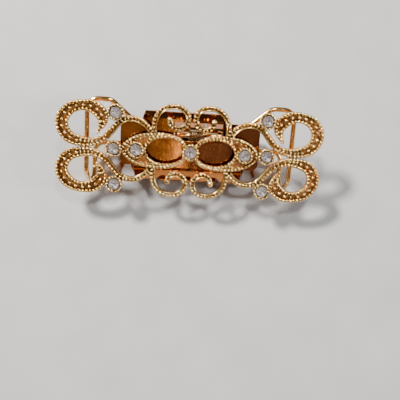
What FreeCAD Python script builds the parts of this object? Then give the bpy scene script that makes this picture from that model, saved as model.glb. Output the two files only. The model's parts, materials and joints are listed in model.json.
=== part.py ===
import FreeCAD, Part
import math
import os

# Gold filigree hair clip with nine rhinestones, closed and lying on its rear jaw.
# Everything is modelled in the ornament's own frame, in millimetres: x runs along the clip, y from its
# front edge to its back edge, and z out of its face, with z = 0 on the back of the filigree.
# At the end the clip is turned about x to the angle at which it lies, and set down on z = 0.

V = FreeCAD.Vector

# ---- filigree ornament -------------------------------------------------------------------------
RIM_HEIGHT = 1.6            # height of the raised rims
CHANNEL_FLOOR = 0.9         # height of the floor between the rims
RIM_WIDTH = 0.75            # width of a raised rim
SCROLL_HEIGHT = 1.5
ARC_HEIGHT = 1.5

# Comma-shaped end loop: (x, y, width) along the middle of the band, from the tip of its tail.
LOOP_ROUTE = [
    (28.4, 4.2, 0.4), (27.5, 6.0, 1.8), (26.8, 8.1, 3.2), (27.4, 10.2, 4.1), (29.6, 12.0, 4.0),
    (32.9, 12.5, 3.4), (36.7, 11.2, 3.8), (39.0, 7.3, 4.0), (37.2, 3.1, 3.8), (33.2, 1.6, 3.2),
    (29.2, 1.7, 2.6), (25.9, 3.2, 2.2),
]
# Side arc: goes on from the loop's foot, over the top, and down to the eye.
ARC_ROUTE = [
    (25.9, 3.2, 2.2), (23.5, 6.1, 2.0), (20.9, 8.6, 1.8), (17.4, 9.3, 1.8), (14.6, 8.3, 1.8),
    (12.2, 6.0, 1.7),
]
# Scroll: from the eye's edge, over its crest, and round to its free end.
SCROLL_WIDTH = 1.45
SCROLL_ROUTE = [
    (11.3, 5.0), (11.1, 9.3), (9.3, 12.3), (5.6, 13.6), (2.3, 12.6), (1.1, 10.2), (1.9, 7.9),
    (4.2, 6.95), (6.2, 7.8), (6.8, 9.7),
]
# Eye: (x, y) round the upper half of its outline, from its outer tip to its inner end.
EYE_HALF = [(21.2, 0.0), (19.7, 2.6), (16.9, 4.4), (13.0, 5.4), (8.6, 5.6), (4.6, 4.9), (1.9, 3.2)]
EYE_INNER_END = 0.9
EYE_OPENING_X = 7.7
EYE_OPENING_HALF_LENGTH = 5.8
EYE_OPENING_HALF_WIDTH = 3.85

# ---- stones ------------------------------------------------------------------------------------
CUP_RADIUS = 2.45
CUP_HEIGHT = 2.3
CUP_FLOOR = 1.1
STONE_RADIUS = 1.75
STONE_TABLE_RADIUS = 1.0
STONE_CULET_RADIUS = 0.4
GIRDLE_BOTTOM = 2.05
GIRDLE_TOP = 2.2
STONE_TOP = 3.25
STONE_PLACES = {
    "back_left": (-22.9, 10.9), "back_right": (22.9, 10.9),
    "front_left": (-22.9, -10.9), "front_right": (22.9, -10.9),
    "left": (-23.4, 0.0), "right": (23.4, 0.0),
    "inner_left": (-16.65, 0.0), "inner_right": (16.65, 0.0), "centre": (0.0, 0.0),
}

# ---- hinge -------------------------------------------------------------------------------------
PIN_Y = 4.5
PIN_Z = -5.6
PIN_RADIUS = 0.9
PIN_RUNNING_CLEARANCE = 0.05
HINGE_MIDDLE_X = 2.3
EAR_RADIUS = 1.8
SHEET = 0.8                 # thickness of both jaws
REAR_EAR_INNER = 6.4        # distance of each ear's inner face from the middle of the hinge
FRONT_EAR_INNER = 7.5
PIN_HEAD_INNER = 8.6
PIN_HEAD_THICKNESS = 0.6
PIN_HEAD_RADIUS = 1.35

# ---- front jaw, which carries the ornament --------------------------------------------------------
FRONT_TOP = -2.4            # height of its outer face under the ornament
FRONT_HALF_WIDTH = 21.6
FRONT_WING_BACK = 9.0        # back edge of the sheet on both sides of the thumb tab
FRONT_WING_FRONT = -5.3
FRONT_WALL_HALF_WIDTH = 14.0 # of the wall that carries the teeth
WINDOW_FRONT = 3.0
WINDOW_BACK = 8.7
TAB_LEFT = -15.0
TAB_RIGHT = 11.2
TAB_CORNER = (1.0, 2.0)      # broken corner of the front tab, along and across
FRONT_TEETH = (-12.0, -4.0, 4.0, 12.0)
FRONT_TOOTH_ROOT = -6.4      # heights of the teeth's roots and tips
FRONT_TOOTH_TIP = -9.2
# Outer face of the sheet in the y-z plane, from the thumb tab's end to the teeth, with bend radii.
FRONT_PROFILE = [(11.7, -1.9), (9.6, FRONT_TOP), (-6.2, FRONT_TOP), (-10.4, -5.2), (-11.2, -9.2)]
FRONT_BENDS = [1.5, 2.2, 2.6]

# ---- rear jaw, on which the clip lies ---------------------------------------------------------------
REAR_HALF_WIDTH = 22.4
REAR_TAB_ROOT = -13.6        # height at which the sheet narrows to the thumb tab
REAR_TEETH = (-16.0, -8.0, 0.0, 8.0, 16.0)
REAR_TOOTH_ROOT = -10.8
REAR_TOOTH_TIP = -8.4
REAR_EAR_REACH = (-2.9, 0.5) # of each ear's foot along y, from the pin
REAR_EAR_FOOT = -11.2
# Upper face of the sheet, from the thumb tab's end to the teeth, with bend radii.
REAR_PROFILE = [(8.48, -19.9), (6.1, -10.9), (1.5, -11.0), (-4.5, -12.4), (-8.4, -12.1), (-10.7, -8.6)]
REAR_BENDS = [2.0, 6.0, 5.0, 1.8]

TOOTH_TIP_HALF_WIDTH = 0.8
TOOTH_ROOT_HALF_WIDTH = 1.5
TEETH_PITCH = 8.0
WING_CORNER = 2.0            # plan radii of the jaws' corners
TAB_ROOT_CORNER = 0.6
REAR_TAB_CORNER = 2.6
REAR_TAB_ROOT_CORNER = 0.8
EAR_INSET = 1.0              # of the front ears from the window's back edge
LEG_CLEARANCE = 0.02         # under the front jaw's sheet

# ---- wire arms ---------------------------------------------------------------------------------
WIRE_RADIUS = 0.8
FRONT_ARM_X = 32.2
FRONT_ARM_Z = FRONT_TOP - SHEET - WIRE_RADIUS
FRONT_ARM_ROUTE = [
    (16.6, 7.3, FRONT_ARM_Z), (24.9, 14.3, FRONT_ARM_Z), (FRONT_ARM_X, 14.3, FRONT_ARM_Z),
    (FRONT_ARM_X, -8.4, FRONT_ARM_Z), (FRONT_ARM_X, -11.6, -9.0),
]
FRONT_ARM_BENDS = [4.0, 3.6, 2.6]
REAR_ARM_X = 30.4
REAR_ARM_ROUTE = [
    (13.0, 0.0, -10.53), (REAR_ARM_X, 0.0, -10.53), (REAR_ARM_X, -8.2, -11.2), (REAR_ARM_X, -11.2, -7.4),
]
REAR_ARM_BENDS = [3.2, 2.0]

# ---- torsion spring and solder posts ------------------------------------------------------------------
COIL_INNER_RADIUS = 1.05
SPRING_WIRE = 0.7           # diameter
COIL_HALF_LENGTH = 3.15
FRONT_LEG_END_Y = 9.9
REAR_LEG_END = (7.46, -14.6)
LEG_INSET = 0.6 * SPRING_WIRE    # of a leg from the coil's end and from its inner radius
POST_RADIUS = 1.3
POST_PLACES = ("inner_left", "inner_right", "centre")

# ---- how the clip lies ------------------------------------------------------------------------------
LIE_ANGLE = 24.6            # degrees, back edge raised
BIG = 100.0


def rounded_edges(points, radii, closed=False):
    """Straight runs through the points, with a tangent arc of the given radius at each inner point."""
    count = len(points)
    turning = range(count) if closed else range(1, count - 1)
    starts = {}
    ends = {}
    edges = []
    for place, index in enumerate(turning):
        corner = points[index]
        back = (points[index - 1] - corner).normalize()
        ahead = (points[(index + 1) % count] - corner).normalize()
        half_angle = back.getAngle(ahead) / 2
        radius = radii[place]
        if radius == 0:
            starts[index] = corner
            ends[index] = corner
            continue
        reach = radius / math.tan(half_angle)
        starts[index] = corner + back * reach
        ends[index] = corner + ahead * reach
        middle = corner + (back + ahead).normalize() * (radius / math.sin(half_angle) - radius)
        edges.append((index, Part.Arc(starts[index], middle, ends[index]).toShape()))
    runs = range(count) if closed else range(count - 1)
    for index in runs:
        start = ends.get(index, points[index])
        end = starts.get((index + 1) % count, points[(index + 1) % count])
        if start.distanceToPoint(end) > 1e-6:
            edges.append((index + 0.5, Part.LineSegment(start, end).toShape()))
    return [edge for _, edge in sorted(edges, key=lambda item: item[0])]


def prism(edges, direction):
    return Part.Face(Part.Wire(Part.__sortEdges__(edges))).extrude(direction)


def spline(points):
    curve = Part.BSplineCurve()
    curve.interpolate(points)
    return curve


def band(route, height, bottom=0.0, narrower=0.0):
    """A flat band of changing width along a smooth route of (x, y, width), with square ends."""
    middle = spline([V(x, y, bottom) for x, y, _ in route])
    left = []
    right = []
    for x, y, width in route:
        point = V(x, y, bottom)
        tangent = middle.tangent(middle.parameter(point))[0]
        side = V(-tangent.y, tangent.x, 0) * (max(width - narrower, 0.2) / 2)
        left.append(point + side)
        right.append(point - side)
    edges = [
        spline(left).toShape(),
        Part.LineSegment(left[-1], right[-1]).toShape(),
        spline(right).toShape(),
        Part.LineSegment(right[0], left[0]).toShape(),
    ]
    return prism(edges, V(0, 0, height))


def pillar(x, y, radius, bottom, top):
    return Part.makeCylinder(radius, top - bottom, V(x, y, bottom), V(0, 0, 1))


def rod(x0, x1, radius, y=PIN_Y, z=PIN_Z):
    return Part.makeCylinder(radius, x1 - x0, V(x0, y, z), V(1, 0, 0))


def block(x0, x1, y0, y1, z0, z1):
    return Part.makeBox(x1 - x0, y1 - y0, z1 - z0, V(x0, y0, z0))


def mirrored(shape, left, front):
    """The shape of the back right quarter, as it is in another quarter."""
    if left:
        shape = shape.mirror(V(0, 0, 0), V(1, 0, 0))
    if front:
        shape = shape.mirror(V(0, 0, 0), V(0, 1, 0))
    return shape


# ---- ornament --------------------------------------------------------------------------------------

def eye_outline(inset):
    """Closed almond outline, moved inwards by inset."""
    upper = EYE_HALF
    lower = [(x, -y) for x, y in reversed(EYE_HALF[1:])]
    ring = [V(x, y, 0) for x, y in upper] + [V(EYE_INNER_END, 0, 0)] + [V(x, y, 0) for x, y in lower]
    curve = Part.BSplineCurve()
    curve.interpolate(ring + [ring[0]])
    if inset == 0:
        return curve
    moved = []
    for point in ring:
        tangent = curve.tangent(curve.parameter(point))[0]
        if point.isEqual(ring[0], 1e-6):
            tangent = V(0, 1, 0)
        moved.append(point + V(-tangent.y, tangent.x, 0) * inset)
    inner = Part.BSplineCurve()
    inner.interpolate(moved + [moved[0]])
    return inner


def eye_plate(inset, bottom, height):
    edge = eye_outline(inset).toShape()
    edge.translate(V(0, 0, bottom))
    return prism([edge], V(0, 0, height))


def oval(grow, bottom, height):
    ring = Part.Ellipse(V(EYE_OPENING_X, 0, bottom), EYE_OPENING_HALF_LENGTH + grow,
                        EYE_OPENING_HALF_WIDTH + grow)
    return prism([ring.toShape()], V(0, 0, height))


def cup_holes():
    holes = [pillar(x, y, CUP_RADIUS, -1, RIM_HEIGHT + 1) for x, y in STONE_PLACES.values()]
    return Part.makeCompound(holes)


def eye():
    plate = eye_plate(0.0, 0.0, RIM_HEIGHT)
    depth = RIM_HEIGHT - CHANNEL_FLOOR
    channel = eye_plate(RIM_WIDTH, CHANNEL_FLOOR, depth + 1).cut(oval(RIM_WIDTH, 0, RIM_HEIGHT + 2))
    return plate.cut(channel).cut(oval(0.0, -1, RIM_HEIGHT + 2)).cut(cup_holes())


def back_half(shape):
    return shape.common(block(-BIG, BIG, 0, BIG, -BIG, BIG))


def end_loop():
    outer = band(LOOP_ROUTE, RIM_HEIGHT)
    channel = band(LOOP_ROUTE[1:-1], RIM_HEIGHT, CHANNEL_FLOOR, 2 * RIM_WIDTH)
    return back_half(outer.cut(channel)).cut(cup_holes())


def scroll():
    route = [(x, y, SCROLL_WIDTH) for x, y in SCROLL_ROUTE]
    end_x, end_y = SCROLL_ROUTE[-1]
    body = band(route, SCROLL_HEIGHT).fuse(pillar(end_x, end_y, SCROLL_WIDTH / 2, 0, SCROLL_HEIGHT))
    return body.removeSplitter().cut(eye_plate(0.0, -1, RIM_HEIGHT + 2))


def side_arc():
    body = band(ARC_ROUTE, ARC_HEIGHT)
    for neighbour in (end_loop(), scroll(), eye_plate(0.0, -1, RIM_HEIGHT + 2), cup_holes()):
        body = body.cut(neighbour)
    return body


def largest(shape):
    return max(shape.Solids, key=lambda solid: solid.Volume)


def stone_cup(x, y):
    cup = pillar(x, y, CUP_RADIUS, 0, CUP_HEIGHT)
    return cup.cut(pillar(x, y, STONE_RADIUS, CUP_FLOOR, CUP_HEIGHT + 1))


def rhinestone(x, y):
    up = V(0, 0, 1)
    pavilion = Part.makeCone(STONE_CULET_RADIUS, STONE_RADIUS, GIRDLE_BOTTOM - CUP_FLOOR,
                             V(x, y, CUP_FLOOR), up)
    girdle = pillar(x, y, STONE_RADIUS, GIRDLE_BOTTOM, GIRDLE_TOP)
    crown = Part.makeCone(STONE_RADIUS, STONE_TABLE_RADIUS, STONE_TOP - GIRDLE_TOP,
                          V(x, y, GIRDLE_TOP), up)
    return pavilion.fuse([girdle, crown]).removeSplitter()


def solder_posts():
    return Part.makeCompound([pillar(*STONE_PLACES[name], POST_RADIUS, FRONT_TOP, 0)
                              for name in POST_PLACES])


# ---- jaws ------------------------------------------------------------------------------------------

def sheet(profile, bends, thickness, half_width):
    """Bent sheet, extruded along x. Positive thickness lies on the left of the profile's direction."""
    points = [V(0, y, z) for y, z in profile]
    runs = [(points[i + 1] - points[i]).normalize() for i in range(len(points) - 1)]
    sides = [V(0, -run.z, run.y) * thickness for run in runs]
    other = [points[0] + sides[0]]
    other_bends = []
    for index in range(1, len(points) - 1):
        before = sides[index - 1]
        after = sides[index]
        share = (before + after) * (1 / (1 + before.dot(after) / thickness ** 2))
        other.append(points[index] + share)
        turn = runs[index - 1].cross(runs[index]).x
        grows = turn * thickness < 0
        radius = bends[index - 1]
        other_bends.append(radius + abs(thickness) if grows else max(radius - abs(thickness), 0.2))
    other.append(points[-1] + sides[-1])
    edges = rounded_edges(points, bends) + rounded_edges(other, other_bends)
    edges.append(Part.LineSegment(points[0], other[0]).toShape())
    edges.append(Part.LineSegment(points[-1], other[-1]).toShape())
    body = prism(edges, V(2 * half_width, 0, 0))
    body.translate(V(-half_width, 0, 0))
    return body


def notch(x, root_z, tip_z, width, tip_narrowing):
    """Gap beside a tooth: rounded at the root and wider towards the tips, cut through along y."""
    half_root = width / 2
    half_tip = half_root + tip_narrowing
    direction = 1 if tip_z > root_z else -1
    corners = [V(x - half_root, -BIG, root_z), V(x + half_root, -BIG, root_z),
               V(x + half_tip, -BIG, tip_z + direction), V(x - half_tip, -BIG, tip_z + direction)]
    wedge = prism(rounded_edges(corners, [0, 0, 0, 0], closed=True), V(0, BIG - 4, 0))
    root = Part.makeCylinder(half_root, BIG - 4, V(x, -BIG, root_z), V(0, 1, 0))
    return wedge.fuse(root)


def ear(inner, base_y0, base_y1, base_z, hole_radius):
    """Two hinge ears, one each side of the middle of the hinge, each with a hole for the pin."""
    ears = []
    for x in (HINGE_MIDDLE_X - inner - SHEET, HINGE_MIDDLE_X + inner):
        corners = [V(x, base_y0, base_z), V(x, base_y1, base_z),
                   V(x, PIN_Y + EAR_RADIUS, PIN_Z), V(x, PIN_Y - EAR_RADIUS, PIN_Z)]
        plate = prism(rounded_edges(corners, [0, 0, 0, 0], closed=True), V(SHEET, 0, 0))
        plate = plate.fuse(rod(x, x + SHEET, EAR_RADIUS))
        ears.append(plate.cut(rod(x - 1, x + SHEET + 1, hole_radius)))
    return ears


def teeth_cut(body, teeth, root_z, tip_z):
    gap = TEETH_PITCH - 2 * TOOTH_ROOT_HALF_WIDTH
    narrowing = TOOTH_ROOT_HALF_WIDTH - TOOTH_TIP_HALF_WIDTH
    places = [teeth[0] - TEETH_PITCH / 2] + [tooth + TEETH_PITCH / 2 for tooth in teeth]
    for x in places:
        body = body.cut(notch(x, root_z, tip_z, gap, narrowing))
    return body


def front_jaw():
    body = sheet(FRONT_PROFILE, FRONT_BENDS, SHEET, FRONT_HALF_WIDTH)
    back = FRONT_PROFILE[0][0]
    along, across = TAB_CORNER
    plan = [
        (TAB_LEFT, FRONT_WING_BACK), (TAB_LEFT, back - across), (TAB_LEFT + along, back + SHEET),
        (TAB_RIGHT - along, back + SHEET), (TAB_RIGHT, back - across), (TAB_RIGHT, FRONT_WING_BACK),
        (FRONT_HALF_WIDTH, FRONT_WING_BACK), (FRONT_HALF_WIDTH, FRONT_WING_FRONT),
        (FRONT_WALL_HALF_WIDTH, FRONT_WING_FRONT), (FRONT_WALL_HALF_WIDTH, -BIG),
        (-FRONT_WALL_HALF_WIDTH, -BIG), (-FRONT_WALL_HALF_WIDTH, FRONT_WING_FRONT),
        (-FRONT_HALF_WIDTH, FRONT_WING_FRONT), (-FRONT_HALF_WIDTH, FRONT_WING_BACK),
    ]
    root = TAB_ROOT_CORNER
    wing = WING_CORNER
    radii = [0, root, 0, 0, root, 0, wing, wing, root, 0, 0, root, wing, wing]
    corners = [V(x, y, -BIG / 2) for x, y in plan]
    body = body.common(prism(rounded_edges(corners, radii, closed=True), V(0, 0, BIG)))
    body = teeth_cut(body, FRONT_TEETH, FRONT_TOOTH_ROOT, FRONT_TOOTH_TIP)
    window = block(HINGE_MIDDLE_X - FRONT_EAR_INNER, HINGE_MIDDLE_X + FRONT_EAR_INNER,
                   WINDOW_FRONT, WINDOW_BACK, FRONT_TOP - 2, FRONT_TOP + 1)
    body = body.cut(window)
    ears = ear(FRONT_EAR_INNER, WINDOW_FRONT, WINDOW_BACK - EAR_INSET, FRONT_TOP,
               PIN_RADIUS + PIN_RUNNING_CLEARANCE)
    return body.fuse(ears).removeSplitter()


def rear_jaw():
    body = sheet(REAR_PROFILE, REAR_BENDS, SHEET, REAR_HALF_WIDTH)
    bottom = REAR_PROFILE[0][1] - 1.0
    plan = [(TAB_LEFT, REAR_TAB_ROOT), (TAB_LEFT, bottom), (TAB_RIGHT, bottom), (TAB_RIGHT, REAR_TAB_ROOT),
            (REAR_HALF_WIDTH, REAR_TAB_ROOT), (REAR_HALF_WIDTH, 0), (-REAR_HALF_WIDTH, 0),
            (-REAR_HALF_WIDTH, REAR_TAB_ROOT)]
    root = REAR_TAB_ROOT_CORNER
    tab = REAR_TAB_CORNER
    radii = [root, tab, tab, root, WING_CORNER, 0, 0, WING_CORNER]
    corners = [V(x, -BIG / 2, z) for x, z in plan]
    body = body.common(prism(rounded_edges(corners, radii, closed=True), V(0, BIG, 0)))
    body = teeth_cut(body, REAR_TEETH, REAR_TOOTH_ROOT, REAR_TOOTH_TIP)
    front, back = REAR_EAR_REACH
    ears = ear(REAR_EAR_INNER, PIN_Y + front, PIN_Y + back, REAR_EAR_FOOT, PIN_RADIUS)
    return body.fuse(ears).removeSplitter()


def wire_arm(route, bends):
    points = [V(*point) for point in route]
    path = Part.Wire(rounded_edges(points, bends))
    section = Part.Wire(Part.makeCircle(WIRE_RADIUS, points[0], points[1] - points[0]))
    arm = path.makePipeShell([section], True, False)
    last = (points[-1] - points[-2]).normalize()
    tip = Part.makeSphere(WIRE_RADIUS, points[-1])
    cut = Part.makeCylinder(2 * WIRE_RADIUS, 2 * WIRE_RADIUS, points[-1], last * -1)
    return arm.fuse(tip.cut(cut)).removeSplitter()


# ---- pin and spring --------------------------------------------------------------------------------

def hinge_pin():
    end = PIN_HEAD_INNER + PIN_HEAD_THICKNESS
    shaft = rod(HINGE_MIDDLE_X - end, HINGE_MIDDLE_X + end, PIN_RADIUS)
    heads = [rod(HINGE_MIDDLE_X - end, HINGE_MIDDLE_X - PIN_HEAD_INNER, PIN_HEAD_RADIUS),
             rod(HINGE_MIDDLE_X + PIN_HEAD_INNER, HINGE_MIDDLE_X + end, PIN_HEAD_RADIUS)]
    return shaft.fuse(heads).removeSplitter()


def torsion_spring():
    """The coil as a plain sleeve of its true size, with its two legs."""
    x0 = HINGE_MIDDLE_X - COIL_HALF_LENGTH
    x1 = HINGE_MIDDLE_X + COIL_HALF_LENGTH
    outer = COIL_INNER_RADIUS + SPRING_WIRE
    turn_radius = COIL_INNER_RADIUS + LEG_INSET
    sleeve = rod(x0, x1, outer).cut(rod(x0 - 1, x1 + 1, COIL_INNER_RADIUS))
    front_start = V(x0 + LEG_INSET, PIN_Y, PIN_Z + turn_radius)
    front_end = V(front_start.x, FRONT_LEG_END_Y, FRONT_TOP - SHEET - SPRING_WIRE / 2 - LEG_CLEARANCE)
    rear_start = V(x1 - LEG_INSET, PIN_Y + turn_radius, PIN_Z)
    rear_end = V(rear_start.x, *REAR_LEG_END)
    legs = []
    for start, end in ((front_start, front_end), (rear_start, rear_end)):
        run = end - start
        legs.append(Part.makeCylinder(SPRING_WIRE / 2, run.Length, start, run))
    return sleeve.fuse(legs).removeSplitter()


# ---- assembly --------------------------------------------------------------------------------------

def all_parts():
    parts = {}
    quarter_parts = {"end_loop": end_loop(), "side_arc": side_arc(), "scroll": scroll()}
    for name, shape in quarter_parts.items():
        solid = largest(shape)
        for front in (False, True):
            for left in (False, True):
                place = ("front" if front else "back") + ("_left" if left else "_right")
                parts[name + "_" + place] = mirrored(solid, left, front)
    eye_solid = largest(eye())
    parts["eye_right"] = eye_solid
    parts["eye_left"] = mirrored(eye_solid, True, False)
    for place, (x, y) in STONE_PLACES.items():
        parts["stone_cup_" + place] = stone_cup(x, y)
        parts["rhinestone_" + place] = rhinestone(x, y)
    parts["solder_posts"] = solder_posts()
    parts["front_jaw"] = front_jaw()
    parts["rear_jaw"] = rear_jaw()
    for name, route, bends in (("front_arm", FRONT_ARM_ROUTE, FRONT_ARM_BENDS),
                               ("rear_arm", REAR_ARM_ROUTE, REAR_ARM_BENDS)):
        arm = wire_arm(route, bends)
        parts[name + "_right"] = arm
        parts[name + "_left"] = mirrored(arm, True, False)
    parts["hinge_pin"] = hinge_pin()
    parts["torsion_spring"] = torsion_spring()
    return parts


def main():
    os.makedirs("parts", exist_ok=True)
    parts = all_parts()
    for shape in parts.values():
        shape.rotate(V(0, 0, 0), V(1, 0, 0), LIE_ANGLE)
    box = FreeCAD.BoundBox()
    for shape in parts.values():
        box.add(shape.optimalBoundingBox(True, False))
    shift = V(-box.Center.x, -box.Center.y, -box.ZMin)
    for name, shape in parts.items():
        shape.translate(shift)
        shape.exportStep("parts/" + name + ".step")
        print(name, "solids", len(shape.Solids), "volume %.2f" % shape.Volume, "valid", shape.isValid())
    turn = FreeCAD.Rotation(V(1, 0, 0), LIE_ANGLE)
    pin = turn.multVec(V(HINGE_MIDDLE_X, PIN_Y, PIN_Z)) + shift
    print("pin at %.3f %.3f %.3f" % (pin.x, pin.y, pin.z))
    print("shift %.3f %.3f %.3f" % (shift.x, shift.y, shift.z))
    print("size %.2f %.2f %.2f" % (box.XLength, box.YLength, box.ZLength))


main()
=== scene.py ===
import json
import math

import bpy
import numpy as np
from mathutils import Matrix, Vector


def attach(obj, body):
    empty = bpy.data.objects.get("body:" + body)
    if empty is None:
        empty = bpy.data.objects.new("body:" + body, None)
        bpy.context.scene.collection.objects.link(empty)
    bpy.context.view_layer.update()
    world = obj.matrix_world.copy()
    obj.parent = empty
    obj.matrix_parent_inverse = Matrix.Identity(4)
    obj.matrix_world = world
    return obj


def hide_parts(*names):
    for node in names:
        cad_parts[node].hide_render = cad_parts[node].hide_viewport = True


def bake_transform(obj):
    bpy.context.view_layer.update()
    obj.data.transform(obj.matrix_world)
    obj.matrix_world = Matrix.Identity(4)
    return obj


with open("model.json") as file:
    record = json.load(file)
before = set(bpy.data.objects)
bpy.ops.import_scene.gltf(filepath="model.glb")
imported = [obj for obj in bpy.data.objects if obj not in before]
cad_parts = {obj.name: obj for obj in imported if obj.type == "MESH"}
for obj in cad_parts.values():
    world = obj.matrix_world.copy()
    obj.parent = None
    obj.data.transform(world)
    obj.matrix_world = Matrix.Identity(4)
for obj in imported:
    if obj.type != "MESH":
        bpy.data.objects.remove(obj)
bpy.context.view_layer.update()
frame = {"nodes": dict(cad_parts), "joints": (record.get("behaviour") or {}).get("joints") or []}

# ---- the ornament's own frame ----------------------------------------------------------------------
# Pieces are built in millimetres in the ornament's frame: x along the clip, y from its front edge to
# its back edge, z out of its face, with z = 0 on its back. TO_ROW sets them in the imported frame.
LIE_ANGLE = math.radians(24.6)
PIN = Vector((2.3, 4.5, -5.6))
HINGE = Vector(frame["joints"][0]["pos_m"])
MILLIMETRE = 0.001
TO_ROW = (Matrix.Translation(HINGE) @ Matrix.Rotation(LIE_ANGLE, 4, "X")
          @ Matrix.Scale(MILLIMETRE, 4) @ Matrix.Translation(-PIN))

# ---- shapes that the filigree follows ---------------------------------------------------------------
LOOP_ROUTE = [
    (28.4, 4.2, 0.4), (27.5, 6.0, 1.8), (26.8, 8.1, 3.2), (27.4, 10.2, 4.1), (29.6, 12.0, 4.0),
    (32.9, 12.5, 3.4), (36.7, 11.2, 3.8), (39.0, 7.3, 4.0), (37.2, 3.1, 3.8), (33.2, 1.6, 3.2),
    (29.2, 1.7, 2.6), (25.9, 3.2, 2.2),
]
ARC_ROUTE = [
    (25.9, 3.2, 2.2), (23.5, 6.1, 2.0), (20.9, 8.6, 1.8), (17.4, 9.3, 1.8), (14.6, 8.3, 1.8),
    (12.2, 6.0, 1.7),
]
SCROLL_WIDTH = 1.78
SCROLL_ROUTE = [
    (11.3, 5.4), (11.1, 9.3), (9.3, 12.3), (5.6, 13.6), (2.3, 12.6), (1.1, 10.2), (1.9, 7.9),
    (4.2, 6.95), (6.2, 7.8), (6.8, 9.7),
]
EYE_HALF = [(21.2, 0.0), (19.7, 2.6), (16.9, 4.4), (13.0, 5.4), (8.6, 5.6), (4.6, 4.9), (1.9, 3.2)]
EYE_INNER_END = 0.9
EYE_OPENING_X = 7.7
EYE_OPENING_HALF = (5.8, 3.85)
QUARTERS = {
    "back_right": (1, 1), "back_left": (-1, 1), "front_right": (1, -1), "front_left": (-1, -1),
}
STONE_PLACES = {
    "back_left": (-22.9, 10.9), "back_right": (22.9, 10.9),
    "front_left": (-22.9, -10.9), "front_right": (22.9, -10.9),
    "left": (-23.4, 0.0), "right": (23.4, 0.0),
    "inner_left": (-16.65, 0.0), "inner_right": (16.65, 0.0), "centre": (0.0, 0.0),
}

FLOOR_HEIGHT = 0.95         # floor of a channel
TOP = 1.58                  # top of a rim
BEAD_PITCH = 1.1
BEAD_DEPTH = 0.8            # how far a beaded rim is pinched in between its beads
RIM_HALF = 0.55             # half the width of a beaded rim
RIM_RISE = 0.56             # half its height
PLAIN_RIM_HALF = 0.3        # half the width of a plain rim
RIDGE_PITCH = 1.15
RIDGE_DEPTH = 0.9
FLOOR_INSET = 0.1           # of a band's floor from its edges
BROKEN_EDGE = 0.12          # cut off the top edges of a flat bar
DOT_PITCH = 2.05
DOT_RADIUS = 0.55
DOT_CHANNEL = 1.15          # narrowest channel that holds dots and not cross ridges
LEAST_CHANNEL = 0.15        # narrowest channel that holds anything
EYE_BEAD_PITCH = 1.5
EYE_BEAD_RADIUS = 0.4
EYE_BEAD_INSET = 1.32       # of an eye's loose beads from its outline
EYE_BEAD_CLEAR = 2.55       # of those beads from the inner stone's middle
EYE_LANE = 1.0              # from an eye's opening to the ridges round it
EYE_LANE_ENDS = (2.0, 12.5) # along x, between which the ridges stand
STEP = 0.1                  # spacing of points along a line
AROUND = 12                 # points round a wire


# ---- lines -----------------------------------------------------------------------------------------

def even(points, step, closed=False):
    """The same line with evenly spaced points, about step apart."""
    points = np.asarray(points, float)
    if closed:
        points = np.vstack([points, points[:1]])
    gaps = np.linalg.norm(np.diff(points[:, :2], axis=0), axis=1)
    at = np.concatenate([[0], np.cumsum(gaps)])
    count = max(int(round(at[-1] / step)), 4)
    where = np.linspace(0, at[-1], count + 1)
    line = np.stack([np.interp(where, at, column) for column in points.T], 1)
    return line[:-1] if closed else line


def smooth_line(knots, step=STEP, closed=False):
    """Natural cubic spline through the knots, given as rows of (x, y, ...), evenly sampled."""
    knots = np.asarray(knots, float)
    wrap = 4
    if closed:
        knots = np.vstack([knots[-wrap:], knots, knots[:wrap + 1]])
    gaps = np.linalg.norm(np.diff(knots[:, :2], axis=0), axis=1)
    count = len(knots)
    matrix = np.eye(count)
    right = np.zeros_like(knots)
    for i in range(1, count - 1):
        matrix[i, i - 1:i + 2] = gaps[i - 1], 2 * (gaps[i - 1] + gaps[i]), gaps[i]
        right[i] = 6 * ((knots[i + 1] - knots[i]) / gaps[i] - (knots[i] - knots[i - 1]) / gaps[i - 1])
    bend = np.linalg.solve(matrix, right)
    spans = range(wrap, count - wrap - 1) if closed else range(count - 1)
    samples = []
    for i in spans:
        gap = gaps[i]
        b = np.linspace(0, 1, 40, endpoint=False)[:, None]
        a = 1 - b
        samples.append(a * knots[i] + b * knots[i + 1]
                       + ((a ** 3 - a) * bend[i] + (b ** 3 - b) * bend[i + 1]) * gap ** 2 / 6)
    if not closed:
        samples.append(knots[-1:])
    return even(np.vstack(samples), step, closed)


def sides(line, closed=False):
    """Unit vectors to the left of the line, in its plane."""
    flat = line[:, :2]
    if closed:
        along = np.roll(flat, -1, 0) - np.roll(flat, 1, 0)
    else:
        along = np.gradient(flat, axis=0)
    along /= np.linalg.norm(along, axis=1)[:, None]
    return np.stack([-along[:, 1], along[:, 0]], 1)


def offset(line, distance, closed=False):
    """The line moved to its left by distance, which may change along it."""
    moved = line[:, :2] + sides(line, closed) * np.reshape(distance, (-1, 1))
    return even(moved, STEP, closed)


# ---- shells: (points, faces) -------------------------------------------------------------------------

def ring_shell(rings, closed=False):
    """Skin over equal rings of points; the ends are capped unless it is closed on itself."""
    count, around = rings.shape[:2]
    points = rings.reshape(-1, 3)
    faces = []
    for i in range(count if closed else count - 1):
        here = i * around
        there = ((i + 1) % count) * around
        for j in range(around):
            k = (j + 1) % around
            faces.append((here + j, there + j, there + k, here + k))
    if not closed:
        faces.append(tuple(range(around)))
        last = (count - 1) * around
        faces.append(tuple(last + j for j in reversed(range(around))))
    return points, faces


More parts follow.
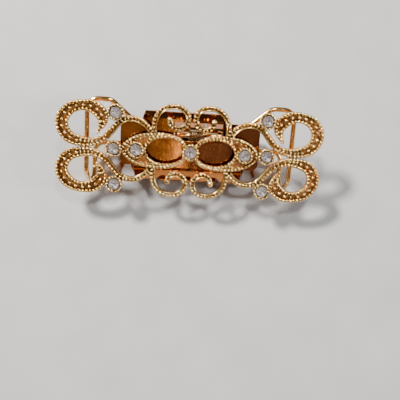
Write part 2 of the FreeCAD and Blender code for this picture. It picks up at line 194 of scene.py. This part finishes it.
def wire(line, z, half_width, half_height, pitch=0, depth=0.0, closed=False):
    """Wire of oval section along a line in the ornament's plane, pinched into beads if it has a pitch."""
    length = len(line) * STEP
    beads = max(round(length / pitch), 1) if pitch else 0
    where = np.arange(len(line)) / (len(line) if closed else len(line) - 1)
    size = np.ones(len(line))
    if beads:
        phase = (where * beads) % 1.0 * 2 - 1
        size = 1 - depth * (1 - np.sqrt(np.clip(1 - (0.97 * phase) ** 2, 0, 1)))
    if not closed:
        from_end = np.minimum(np.arange(len(line)), np.arange(len(line))[::-1]) * STEP / half_width
        size = size * np.sqrt(np.clip(1 - (1 - np.minimum(from_end, 1)) ** 2, 0.04, 1))
    side = sides(line, closed)
    angle = np.linspace(0, 2 * math.pi, AROUND, endpoint=False)
    across = np.cos(angle)[None, :, None] * (size * half_width)[:, None, None]
    rise = np.sin(angle)[None, :] * (size * half_height)[:, None]
    rings = np.zeros((len(line), AROUND, 3))
    rings[:, :, :2] = line[:, None, :2] + side[:, None, :] * across
    sunk = (1 - size) * half_height if beads else 0 * size
    rings[:, :, 2] = z + rise - sunk[:, None]
    return ring_shell(rings, closed)


def strip(line, left, right, bottom, top, closed=False):
    """Flat bar along a line, from left to right of it, with its top edges broken."""
    side = sides(line, closed)
    left = np.broadcast_to(left, len(line))
    right = np.broadcast_to(right, len(line))
    edge = BROKEN_EDGE
    section = [(left, bottom), (left, top - edge), (left - edge, top),
               (right + edge, top), (right, top - edge), (right, bottom)]
    rings = np.zeros((len(line), len(section), 3))
    for j, (reach, height) in enumerate(section):
        rings[:, j, :2] = line[:, :2] + side * reach[:, None]
        rings[:, j, 2] = height
    return (*ring_shell(rings, closed), 1)


def ball(x, y, z, half_along, half_across, half_up, heading=0.0, rows=7, columns=10):
    """Oval bead, its long axes turned by heading about z."""
    points = [(0, 0, -1)]
    for i in range(1, rows):
        lift = math.pi * i / rows - math.pi / 2
        for j in range(columns):
            turn = 2 * math.pi * j / columns
            points.append((math.cos(lift) * math.cos(turn), math.cos(lift) * math.sin(turn), math.sin(lift)))
    points.append((0, 0, 1))
    points = np.array(points) * (half_along, half_across, half_up)
    c, s = math.cos(heading), math.sin(heading)
    turned = points[:, :2] @ np.array([[c, s], [-s, c]])
    points = np.column_stack([turned[:, 0] + x, turned[:, 1] + y, points[:, 2] + z])
    faces = [(0, 1 + (j + 1) % columns, 1 + j) for j in range(columns)]
    for i in range(rows - 2):
        for j in range(columns):
            k = (j + 1) % columns
            here, there = 1 + i * columns, 1 + (i + 1) * columns
            faces.append((here + j, here + k, there + k, there + j))
    last = len(points) - 1
    top = 1 + (rows - 2) * columns
    faces += [(last, top + j, top + (j + 1) % columns) for j in range(columns)]
    return points, faces


def dots(line, widths):
    """Round dots on a channel's floor where it is wide, and cross ridges where it is narrow."""
    shells = []
    side = sides(line)
    gap = 0.0
    for i in range(len(line)):
        width = widths[i]
        if width < LEAST_CHANNEL:
            continue
        wide = width >= DOT_CHANNEL
        gap += STEP
        if gap < (DOT_PITCH if wide else BEAD_PITCH):
            continue
        gap = 0.0
        x, y = line[i, :2]
        heading = math.atan2(side[i, 1], side[i, 0])
        if wide:
            shells.append(ball(x, y, FLOOR_HEIGHT, DOT_RADIUS, DOT_RADIUS, 0.6))
        else:
            shells.append(ball(x, y, FLOOR_HEIGHT + 0.02, width / 2 + 0.35, 0.34, 0.42, heading))
    return shells


# ---- filigree elements, back right quarter ---------------------------------------------------------------

def loop_shells():
    line = smooth_line(LOOP_ROUTE)
    half = line[:, 2] / 2
    reach = np.maximum(half - FLOOR_INSET, 0.15)
    shells = [strip(line, reach, -reach, 0, FLOOR_HEIGHT)]
    for hand in (1, -1):
        edge = offset(line, hand * np.maximum(half - RIM_HALF, 0.02))
        shells.append(wire(edge, TOP - RIM_RISE, RIM_HALF, RIM_RISE, BEAD_PITCH, BEAD_DEPTH))
    shells += dots(line, line[:, 2] - 4 * RIM_HALF)
    return shells


def ridged_shells(line, widths):
    """Plain rim on the left edge and a row of cross ridges on the right."""
    half = np.broadcast_to(widths, len(line)) / 2
    shells = [strip(line, half - FLOOR_INSET, FLOOR_INSET - half, 0, FLOOR_HEIGHT)]
    shells.append(wire(offset(line, half - PLAIN_RIM_HALF), TOP - 0.45, PLAIN_RIM_HALF, 0.44))
    ridge_half = float(np.mean(half)) - PLAIN_RIM_HALF
    ridges = offset(line, -(half - ridge_half))
    shells.append(wire(ridges, TOP - 0.64, ridge_half, 0.62, RIDGE_PITCH, RIDGE_DEPTH))
    return shells


def arc_shells():
    line = smooth_line(ARC_ROUTE)
    return ridged_shells(line, 1.08 * line[:, 2])


def scroll_shells():
    line = smooth_line(SCROLL_ROUTE)
    x, y = SCROLL_ROUTE[-1]
    knob = ball(x, y - 0.15, 0.85, SCROLL_WIDTH / 2, SCROLL_WIDTH / 2, 0.72)
    return ridged_shells(line, SCROLL_WIDTH) + [knob]


def eye_shells():
    lower = [(x, -y) for x, y in reversed(EYE_HALF[1:])]
    outline = smooth_line(EYE_HALF + [(EYE_INNER_END, 0.0)] + lower, closed=True)
    turn = np.linspace(0, 2 * math.pi, 240, endpoint=False)
    oval = np.stack([EYE_OPENING_X + EYE_OPENING_HALF[0] * np.cos(turn),
                     EYE_OPENING_HALF[1] * np.sin(turn)], 1)
    opening = even(oval, STEP, closed=True)
    inside = offset(outline, 0.1, closed=True)
    around = np.arctan2(inside[:, 1], inside[:, 0] - EYE_OPENING_X)
    order = np.argsort(around)
    reach = np.hypot(inside[:, 0] - EYE_OPENING_X, inside[:, 1])
    far = np.interp(turn, around[order], reach[order], period=2 * math.pi)
    near = EYE_OPENING_HALF[0] * EYE_OPENING_HALF[1] / np.hypot(
        EYE_OPENING_HALF[1] * np.cos(turn), EYE_OPENING_HALF[0] * np.sin(turn)) + 0.1
    rings = np.zeros((len(turn), 4, 3))
    for j, (radius, height) in enumerate(((far, 0), (far, FLOOR_HEIGHT), (near, FLOOR_HEIGHT), (near, 0))):
        rings[:, j, 0] = EYE_OPENING_X + radius * np.cos(turn)
        rings[:, j, 1] = radius * np.sin(turn)
        rings[:, j, 2] = height
    shells = [(*ring_shell(rings, closed=True), 1)]
    for edge in (offset(outline, RIM_HALF, True), offset(opening, -RIM_HALF, True)):
        shells.append(wire(edge, TOP - RIM_RISE, RIM_HALF, RIM_RISE, BEAD_PITCH, BEAD_DEPTH, True))
    middle = offset(outline, EYE_BEAD_INSET, True)
    to_oval = np.hypot((middle[:, 0] - EYE_OPENING_X) / (EYE_OPENING_HALF[0] + 0.94),
                       middle[:, 1] / (EYE_OPENING_HALF[1] + 0.94))
    outer_x, outer_y = STONE_PLACES["inner_right"]
    to_stone = np.hypot(middle[:, 0] - outer_x, middle[:, 1] - outer_y)
    free = (to_oval > 1.06) & (to_stone > EYE_BEAD_CLEAR)
    gap = 0.0
    for i in range(len(middle)):
        gap += STEP
        if free[i] and gap >= EYE_BEAD_PITCH:
            shells.append(ball(*middle[i], FLOOR_HEIGHT, EYE_BEAD_RADIUS, EYE_BEAD_RADIUS, 0.45))
            gap = 0.0
    lane = offset(opening, -EYE_LANE, True)
    lane_start, lane_end = EYE_LANE_ENDS
    side = sides(lane, True)
    gap = 0.0
    for i in range(len(lane)):
        gap += STEP
        if gap >= BEAD_PITCH and lane[i, 0] < lane_end and abs(lane[i, 0]) > lane_start:
            heading = math.atan2(side[i, 1], side[i, 0])
            shells.append(ball(*lane[i], FLOOR_HEIGHT, 0.5, 0.28, 0.4, heading))
            gap = 0.0
    return shells


# ---- stones ------------------------------------------------------------------------------------------

CUP_RADIUS = 2.72
CUP_BEADS = 14
CUP_BEAD_RADIUS = 0.52
STONE_RADIUS = 1.72
STONE_SIDES = 8
CULET = 1.22                # heights of the stone's point, girdle, star facets and table
GIRDLE = 2.1
STAR_HEIGHT = 2.83
STONE_TOP = 3.25


def cup_shells():
    turn = np.linspace(0, 2 * math.pi, 56, endpoint=False)
    profile = [(0.02, 0.0), (2.05, 0.0), (2.2, 0.15), (2.2, 1.75), (1.95, 2.0), (1.76, 1.95), (1.74, 1.2),
               (0.02, 1.15)]
    rings = np.zeros((len(turn), len(profile), 3))
    for j, (radius, height) in enumerate(profile):
        rings[:, j, 0] = radius * np.cos(turn)
        rings[:, j, 1] = radius * np.sin(turn)
        rings[:, j, 2] = height
    shells = [ring_shell(rings[:, ::-1], closed=True)]
    for i in range(CUP_BEADS):
        angle = 2 * math.pi * i / CUP_BEADS
        reach = CUP_RADIUS - CUP_BEAD_RADIUS
        shells.append(ball(reach * math.cos(angle), reach * math.sin(angle), 1.8,
                           CUP_BEAD_RADIUS, CUP_BEAD_RADIUS, 0.55, angle))
    return shells


def stone_shells():
    """Round stone with a flat table, star and kite facets, and a pointed back."""
    rings = []
    for radius, height, start, count in (
            (0.56, STONE_TOP, 0.0, STONE_SIDES),
            (0.80, STAR_HEIGHT, 0.5, STONE_SIDES),
            (1.0, GIRDLE + 0.1, 0.0, 2 * STONE_SIDES),
            (1.0, GIRDLE, 0.0, 2 * STONE_SIDES)):
        ring = []
        for i in range(count):
            angle = 2 * math.pi * (i + start) / count
            x = radius * STONE_RADIUS * math.cos(angle)
            y = radius * STONE_RADIUS * math.sin(angle)
            ring.append((x, y, height))
        rings.append(ring)
    points = [p for ring in rings for p in ring] + [(0.0, 0.0, CULET)]
    doubled = 2 * STONE_SIDES
    table = 0
    star = table + STONE_SIDES
    upper = star + STONE_SIDES
    lower = upper + doubled
    culet = lower + doubled
    faces = [tuple(table + i for i in range(STONE_SIDES))]
    for i in range(STONE_SIDES):
        j = (i + 1) % STONE_SIDES
        before = (i - 1) % STONE_SIDES
        faces.append((table + i, star + i, table + j))
        faces.append((table + i, star + before, upper + 2 * i, star + i))
        faces.append((star + i, upper + 2 * i, upper + 2 * i + 1))
        faces.append((star + i, upper + 2 * i + 1, upper + (2 * i + 2) % doubled))
    for i in range(doubled):
        j = (i + 1) % doubled
        faces.append((upper + i, lower + i, lower + j, upper + j))
    for i in range(STONE_SIDES):
        faces.append((lower + 2 * i, culet, lower + (2 * i + 2) % doubled, lower + 2 * i + 1))
    looks = [0] * (len(faces) - STONE_SIDES) + [1] * STONE_SIDES
    return [(np.array(points), faces, looks)]


# ---- materials -----------------------------------------------------------------------------------------

def new_material(name):
    material = bpy.data.materials.new(name)
    material.use_nodes = True
    tree = material.node_tree
    tree.nodes.clear()
    output = tree.nodes.new("ShaderNodeOutputMaterial")
    shader = tree.nodes.new("ShaderNodeBsdfPrincipled")
    tree.links.new(shader.outputs[0], output.inputs[0])
    return material, tree, shader


def add(tree, kind, **values):
    node = tree.nodes.new(kind)
    for key, value in values.items():
        if key in node.inputs:
            node.inputs[key].default_value = value
        else:
            setattr(node, key, value)
    return node


def noise(tree, scale, detail=4.0, stretch=None):
    place = tree.nodes.new("ShaderNodeTexCoord")
    node = add(tree, "ShaderNodeTexNoise", Scale=scale, Detail=detail)
    source = place.outputs["Object"]
    if stretch:
        mapping = tree.nodes.new("ShaderNodeMapping")
        mapping.inputs["Scale"].default_value = stretch
        tree.links.new(source, mapping.inputs["Vector"])
        source = mapping.outputs["Vector"]
    tree.links.new(source, node.inputs["Vector"])
    return node


def ramp(tree, source, stops):
    node = tree.nodes.new("ShaderNodeValToRGB")
    elements = node.color_ramp.elements
    while len(elements) < len(stops):
        elements.new(0.5)
    for element, (position, colour) in zip(elements, stops):
        element.position = position
        element.color = colour if len(colour) == 4 else (*colour, 1)
    tree.links.new(source, node.inputs["Fac"])
    return node


def grey(value):
    return (value, value, value)


def plated_metal(name, light, deep, roughness, bump_scale, bump, painted_shade_reach=0.0, stretch=None, rounding=0.0):
    """Plated metal: colour that drifts, painted shade that darkens it in recesses, uneven polish, fine
    surface.
    """
    material, tree, shader = new_material(name)
    shader.inputs["Metallic"].default_value = 1.0
    drift = noise(tree, 260.0, 3.0)
    tone = ramp(tree, drift.outputs["Fac"], [(0.3, deep), (0.62, light)])
    colour = tone.outputs["Color"]
    # Painted shade: ambient occlusion darkens the base colour in recesses, under the filigree and between
    # parts.
    if painted_shade_reach:
        shade = add(tree, "ShaderNodeAmbientOcclusion", Distance=painted_shade_reach, samples=8)
        painted_shade_ramp = ramp(tree, shade.outputs["AO"], [(0.35, (0.10, 0.04, 0.015)), (0.72, grey(1.0))])
        shaded_colour = add(tree, "ShaderNodeMix", data_type="RGBA", blend_type="MULTIPLY")
        shaded_colour.inputs["Factor"].default_value = 1.0
        tree.links.new(colour, shaded_colour.inputs["A"])
        tree.links.new(painted_shade_ramp.outputs["Color"], shaded_colour.inputs["B"])
        colour = shaded_colour.outputs["Result"]
    tree.links.new(colour, shader.inputs["Base Color"])
    wear = noise(tree, 900.0, 5.0, stretch)
    low, high = roughness
    polish = ramp(tree, wear.outputs["Fac"], [(0.35, grey(low)), (0.75, grey(high))])
    tree.links.new(polish.outputs["Color"], shader.inputs["Roughness"])
    grain = noise(tree, bump_scale, 3.0, stretch)
    surface = add(tree, "ShaderNodeBump", Strength=bump, Distance=0.0001)
    tree.links.new(grain.outputs["Fac"], surface.inputs["Height"])
    if rounding:
        bevel = add(tree, "ShaderNodeBevel", Radius=rounding, samples=4)
        tree.links.new(bevel.outputs["Normal"], surface.inputs["Normal"])
    tree.links.new(surface.outputs["Normal"], shader.inputs["Normal"])
    return material


def crystal_material():
    material, tree, shader = new_material("crystal_face")
    tint = ramp(tree, noise(tree, 700.0, 2.0).outputs["Fac"],
                [(0.3, (1.0, 0.88, 0.92)), (0.7, (1.0, 0.98, 0.97))])
    tree.links.new(tint.outputs["Color"], shader.inputs["Base Color"])
    shader.inputs["Transmission Weight"].default_value = 0.97
    shader.inputs["IOR"].default_value = 2.0
    scratches = ramp(tree, noise(tree, 2500.0, 4.0).outputs["Fac"], [(0.5, grey(0.0)), (0.8, grey(0.06))])
    tree.links.new(scratches.outputs["Color"], shader.inputs["Roughness"])
    return material


def foil_material():
    material, tree, shader = new_material("crystal_foil")
    shader.inputs["Metallic"].default_value = 1.0
    tint = ramp(tree, noise(tree, 500.0, 2.0).outputs["Fac"],
                [(0.35, (1.0, 0.90, 0.90)), (0.65, (1.0, 1.0, 0.98))])
    tree.links.new(tint.outputs["Color"], shader.inputs["Base Color"])
    rough = ramp(tree, noise(tree, 1800.0, 2.0).outputs["Fac"], [(0.35, grey(0.10)), (0.65, grey(0.42))])
    tree.links.new(rough.outputs["Color"], shader.inputs["Roughness"])
    return material


# The filigree, channel and jaw golds carry painted shade: occlusion darkens their base colour in recesses and
# beneath the filigree.
GOLD = plated_metal("filigree_gold", (0.98, 0.71, 0.29), (0.90, 0.54, 0.18), (0.16, 0.30), 1500.0, 0.3,
                    painted_shade_reach=0.0012)
FLOOR_GOLD = plated_metal("channel_gold", (0.86, 0.42, 0.14), (0.70, 0.28, 0.08), (0.16, 0.34), 1500.0, 0.4,
                          painted_shade_reach=0.0012)
SHEET_GOLD = plated_metal("jaw_gold", (0.56, 0.22, 0.06), (0.42, 0.14, 0.035), (0.05, 0.15), 400.0, 0.12,
                          painted_shade_reach=0.005, stretch=(1.0, 0.25, 1.0), rounding=0.00015)
WIRE_GOLD = plated_metal("wire_gold", (0.92, 0.60, 0.26), (0.82, 0.46, 0.17), (0.10, 0.22), 900.0, 0.15)
STEEL = plated_metal("spring_steel", (0.50, 0.36, 0.19), (0.34, 0.22, 0.10), (0.18, 0.34), 1600.0, 0.3)
CRYSTAL = crystal_material()
FOIL = foil_material()


# ---- building pieces -----------------------------------------------------------------------------------

def make_piece(name, shells, materials, node, body="front", flip=(1, 1), move=(0, 0, 0), smooth=True):
    """One mesh from shells, mirrored and moved in the ornament's frame, which stands for a CAD node.
    After a shell's points and faces comes which of the materials it has, for all or for each face."""
    points = []
    faces = []
    looks = []
    backwards = flip[0] * flip[1] < 0
    for shell_points, shell_faces, *rest in shells:
        start = len(points)
        look = rest[0] if rest else 0
        looks.extend(look if isinstance(look, list) else [look] * len(shell_faces))
        points.extend(tuple(p) for p in shell_points * (flip[0], flip[1], 1) + move)
        for face in shell_faces:
            ring = tuple(start + i for i in face)
            faces.append(ring[::-1] if backwards else ring)
    mesh = bpy.data.meshes.new(name)
    mesh.from_pydata(points, [], faces)
    mesh.transform(TO_ROW)
    mesh.update()
    if smooth:
        mesh.shade_smooth()
        mesh.set_sharp_from_angle(angle=math.radians(50))
    for material in materials:
        mesh.materials.append(material)
    mesh.polygons.foreach_set("material_index", looks)
    piece = bpy.data.objects.new(name, mesh)
    bpy.context.scene.collection.objects.link(piece)
    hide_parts(node)
    if body:
        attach(piece, body)
    return piece


for element, shells in (("end_loop", loop_shells()), ("side_arc", arc_shells()), ("scroll", scroll_shells())):
    for quarter, flip in QUARTERS.items():
        node = element + "_" + quarter
        make_piece(node + "_filigree", shells, [GOLD, FLOOR_GOLD], node, flip=flip)
for hand, sign in (("right", 1), ("left", -1)):
    make_piece("eye_" + hand + "_filigree", eye_shells(), [GOLD, FLOOR_GOLD], "eye_" + hand,
               flip=(sign, 1))

for place, (x, y) in STONE_PLACES.items():
    make_piece("stone_cup_" + place + "_beaded", cup_shells(), [GOLD], "stone_cup_" + place,
               move=(x, y, 0))
    make_piece("rhinestone_" + place + "_cut", stone_shells(), [CRYSTAL, FOIL], "rhinestone_" + place,
               move=(x, y, 0), smooth=False)


# ---- torsion spring --------------------------------------------------------------------------------------

SPRING_WIRE_RADIUS = 0.35
COIL_RADIUS = 1.4
COIL_HALF_LENGTH = 2.8
COIL_TURNS = 7.75
POINTS_PER_TURN = 28
LEG_POINTS = 12
FRONT_LEG_END = (9.9, -3.6)
REAR_LEG_END = (7.46, -14.6)


def spring_line():
    """Comes in along the front leg under the coil, winds round the pin, and leaves down the rear leg."""
    count = int(COIL_TURNS * POINTS_PER_TURN)
    x0 = PIN.x - COIL_HALF_LENGTH
    angle = np.linspace(1.5 * math.pi, 1.5 * math.pi - COIL_TURNS * 2 * math.pi, count)
    x = np.linspace(x0, PIN.x + COIL_HALF_LENGTH, count)
    coil = np.stack([x, PIN.y + COIL_RADIUS * np.cos(angle), PIN.z + COIL_RADIUS * np.sin(angle)], 1)
    share = np.linspace(0, 1, LEG_POINTS, endpoint=False)[:, None]
    front = np.array([[x0, *FRONT_LEG_END]])
    rear = np.array([[x[-1], *REAR_LEG_END]])
    leg_in = front * (1 - share) + coil[:1] * share
    leg_out = coil[-1:] + (rear - coil[-1:]) * (share + 1 / LEG_POINTS)
    return np.vstack([leg_in, coil, leg_out])


def tube_shell(line, radius, around=10):
    rings = []
    normal = Vector((1, 0, 0))
    for i in range(len(line)):
        here = Vector(line[max(i - 1, 0)])
        there = Vector(line[min(i + 1, len(line) - 1)])
        along = (there - here).normalized()
        normal = (normal - along * normal.dot(along)).normalized()
        other = along.cross(normal)
        centre = Vector(line[i])
        rings.append([centre + (normal * math.cos(a) + other * math.sin(a)) * radius
                      for a in np.linspace(0, 2 * math.pi, around, endpoint=False)])
    points, faces = ring_shell(np.array([[list(p) for p in ring] for ring in rings]))
    return points, [face[::-1] for face in faces]


spring = make_piece("torsion_spring_coil", [tube_shell(spring_line(), SPRING_WIRE_RADIUS)], [STEEL],
                    "torsion_spring", body=None)
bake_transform(spring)


# ---- CAD nodes that stay --------------------------------------------------------------------------------

KEPT = {
    "front_jaw": SHEET_GOLD, "rear_jaw": SHEET_GOLD, "solder_posts": SHEET_GOLD, "hinge_pin": WIRE_GOLD,
    "front_arm_left": WIRE_GOLD, "front_arm_right": WIRE_GOLD,
    "rear_arm_left": WIRE_GOLD, "rear_arm_right": WIRE_GOLD,
}
for node, material in KEPT.items():
    slots = frame["nodes"][node].data.materials
    slots.clear()
    slots.append(material)


# ---- floor, light and camera ----------------------------------------------------------------------------

def make_floor():
    mesh = bpy.data.meshes.new("floor")
    half = 1.5
    corners = [(-half, -half, 0), (half, -half, 0), (half, half, 0), (-half, half, 0)]
    mesh.from_pydata(corners, [], [(0, 1, 2, 3)])
    material, tree, shader = new_material("floor_pale")
    tone = ramp(tree, noise(tree, 60.0, 6.0).outputs["Fac"], [(0.3, grey(0.46)), (0.7, grey(0.51))])
    tree.links.new(tone.outputs["Color"], shader.inputs["Base Color"])
    shader.inputs["Roughness"].default_value = 0.85
    mesh.materials.append(material)
    floor = bpy.data.objects.new("floor", mesh)
    bpy.context.scene.collection.objects.link(floor)


def softbox(name, place, target, size, power, colour=(1, 1, 1)):
    light = bpy.data.lights.new(name, "AREA")
    light.shape = "RECTANGLE"
    light.size, light.size_y = size
    light.energy = power
    light.color = colour
    lamp = bpy.data.objects.new(name, light)
    lamp.location = place
    lamp.rotation_euler = (Vector(target) - Vector(place)).to_track_quat("-Z", "Y").to_euler()
    bpy.context.scene.collection.objects.link(lamp)


def make_lights():
    world = bpy.data.worlds.new("studio")
    bpy.context.scene.world = world
    world.use_nodes = True
    background = world.node_tree.nodes["Background"]
    background.inputs["Color"].default_value = (1.0, 0.94, 0.87, 1)
    background.inputs["Strength"].default_value = 0.09
    middle = (0, 0, 0.01)
    softbox("key", (-0.36, 0.30, 0.50), middle, (0.11, 0.08), 11.0, (1.0, 0.96, 0.90))
    softbox("top", (0.05, 0.10, 0.62), middle, (0.06, 0.06), 1.6)
    # The two cards and the strip are faint, and stand where the jaw's sheet mirrors them to the camera.
    softbox("card_left", (-0.06, -0.33, 0.515), middle, (0.17, 0.16), 0.026, (1.0, 0.72, 0.42))
    softbox("card_right", (0.10, -0.33, 0.515), middle, (0.15, 0.16), 0.014, (0.90, 0.62, 0.95))
    softbox("strip", (0.012, -0.33, 0.52), middle, (0.008, 0.16), 0.022, (1.0, 0.85, 0.60))
    softbox("fill", (0.50, -0.10, 0.36), middle, (0.10, 0.20), 2.0, (0.95, 0.97, 1.0))


CAMERA_AZIMUTH = 19.5       # degrees round z, from looking along +Y
CAMERA_ELEVATION = 78.4
CAMERA_ROLL = 22.0
CAMERA_DISTANCE = 0.1711
CAMERA_OFFSET = (0.00300, -0.01477)     # of the aim from the ornament's middle, to the right and up
CAMERA_LENS = 50.0


def make_camera():
    azimuth, elevation, roll = (math.radians(a) for a in (CAMERA_AZIMUTH, CAMERA_ELEVATION, CAMERA_ROLL))
    back = Vector((-math.sin(azimuth) * math.cos(elevation), -math.cos(azimuth) * math.cos(elevation),
                   math.sin(elevation)))
    level = Vector((math.cos(azimuth), -math.sin(azimuth), 0))
    right = level * math.cos(roll) + back.cross(level) * math.sin(roll)
    up = back.cross(right)
    aim = TO_ROW @ Vector((0, 0, 0)) + right * CAMERA_OFFSET[0] + up * CAMERA_OFFSET[1]
    data = bpy.data.cameras.new("camera")
    data.lens = CAMERA_LENS
    data.clip_start = 0.005
    camera = bpy.data.objects.new("camera", data)
    turn = Matrix((right, up, back)).transposed().to_4x4()
    camera.matrix_world = Matrix.Translation(aim + back * CAMERA_DISTANCE) @ turn
    bpy.context.scene.collection.objects.link(camera)
    bpy.context.scene.camera = camera


make_floor()
make_lights()
make_camera()

bpy.context.view_layer.update()
